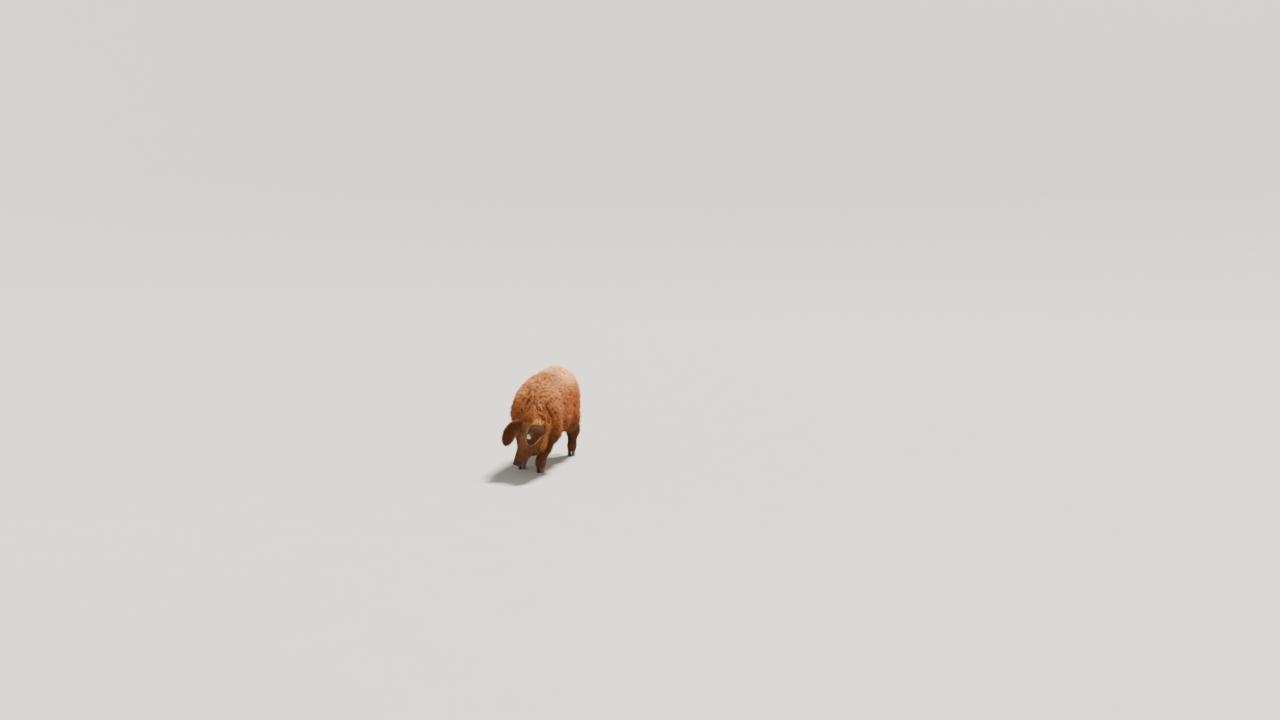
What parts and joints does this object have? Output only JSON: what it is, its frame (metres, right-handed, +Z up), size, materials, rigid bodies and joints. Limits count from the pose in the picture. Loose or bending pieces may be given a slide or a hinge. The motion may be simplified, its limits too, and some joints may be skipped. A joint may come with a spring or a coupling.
{
  "type": "mangalica pig",
  "caption": "Life-size still model of a woolly red mangalica pig, standing with its head down to graze and its ears drooping forward, a blank tag in one ear.",
  "frame": {"origin": "on the floor, under the middle of the pig's outline seen from above", "axes": "+Z up, -Y the way the pig heads, +X its left side"},
  "size_m": [0.4381, 1.3261, 0.7531],
  "materials": {
    "coat": "woolly curls, reddish brown, sun-bleached at the tips",
    "face": "short-haired skin, dark brown",
    "ear": "short-haired skin, dark grey-brown",
    "snout": "bare moist skin, slate black",
    "horn": "horn of the claws, black, worn",
    "eye": "wet, dark brown",
    "tag": "soft cream plastic, blank"
  },
  "bodies": {
    "root": {"head": "face", "neck": "coat", "torso": "coat", "tail": "coat", "snout_disc": "snout", "ear_left": "ear", "ear_right": "ear", "eye_left": "eye", "eye_right": "eye", "ear_tag": "tag", "leg_front_left": "coat", "leg_front_right": "coat", "leg_hind_left": "coat", "leg_hind_right": "coat", "hoof_front_left_outer": "horn", "hoof_front_left_inner": "horn", "hoof_front_right_outer": "horn", "hoof_front_right_inner": "horn", "hoof_hind_left_outer": "horn", "hoof_hind_left_inner": "horn", "hoof_hind_right_outer": "horn", "hoof_hind_right_inner": "horn", "dewclaw_front_left_outer": "horn", "dewclaw_front_left_inner": "horn", "dewclaw_front_right_outer": "horn", "dewclaw_front_right_inner": "horn", "dewclaw_hind_left_outer": "horn", "dewclaw_hind_left_inner": "horn", "dewclaw_hind_right_outer": "horn", "dewclaw_hind_right_inner": "horn"}
  },
  "joints": []
}
